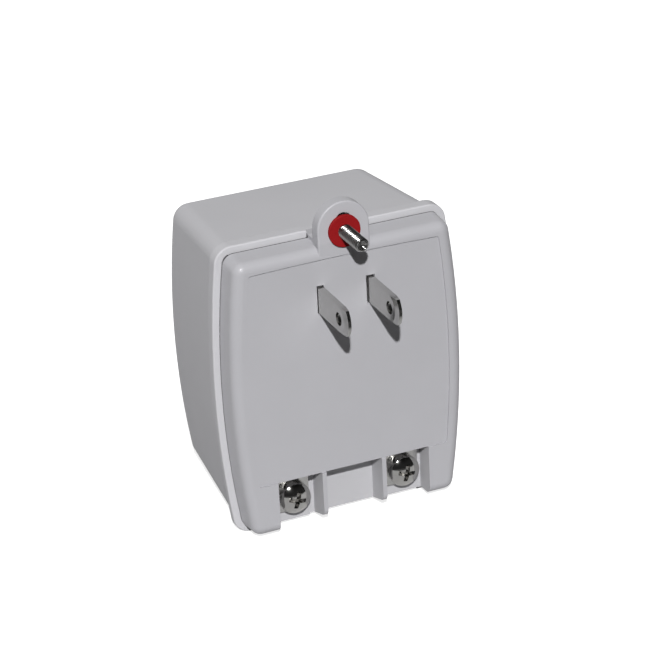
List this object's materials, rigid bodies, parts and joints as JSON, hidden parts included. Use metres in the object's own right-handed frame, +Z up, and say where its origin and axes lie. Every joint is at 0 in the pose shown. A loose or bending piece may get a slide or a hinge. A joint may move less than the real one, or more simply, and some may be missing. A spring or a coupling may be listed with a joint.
{
  "type": "plug in ac transformer",
  "caption": "Barrel-sided plug-in transformer with two flat blades, a fixing screw in a top ear and two screw terminals in a bottom notch.",
  "frame": {"origin": "on the wall face, midway between the two blades", "axes": "-Y along the blades into the socket, +Y into the case, +Z up towards the ear, +X right when looking along +Y at the blades"},
  "size_m": [0.0626, 0.0612, 0.0833],
  "materials": {
    "case_plastic": "satin",
    "blade_metal": "satin",
    "screw_metal": "polished",
    "washer_fibre": "matte",
    "terminal_metal": "satin",
    "core_iron": "satin",
    "bobbin_plastic": "satin",
    "copper_wire": "gloss",
    "tape_yellow": "gloss",
    "cutoff_metal": "satin",
    "mains_lead": "satin",
    "output_lead": "satin"
  },
  "bodies": {
    "root": {"front_cover": "case_plastic", "rear_case": "case_plastic", "left_blade": "blade_metal", "right_blade": "blade_metal", "mounting_screw": "screw_metal", "screw_washer": "washer_fibre", "left_terminal_screw": "screw_metal", "right_terminal_screw": "screw_metal", "left_terminal_plate": "terminal_metal", "right_terminal_plate": "terminal_metal", "core_e_stack": "core_iron", "core_i_stack": "core_iron", "coil_bobbin": "bobbin_plastic", "primary_winding": "copper_wire", "secondary_winding": "copper_wire", "primary_tape": "tape_yellow", "secondary_tape": "tape_yellow", "thermal_cutoff": "cutoff_metal", "left_blade_lead": "mains_lead", "right_blade_lead": "mains_lead", "cutoff_lead": "mains_lead", "left_terminal_lead": "output_lead", "right_terminal_lead": "output_lead"}
  },
  "joints": []
}
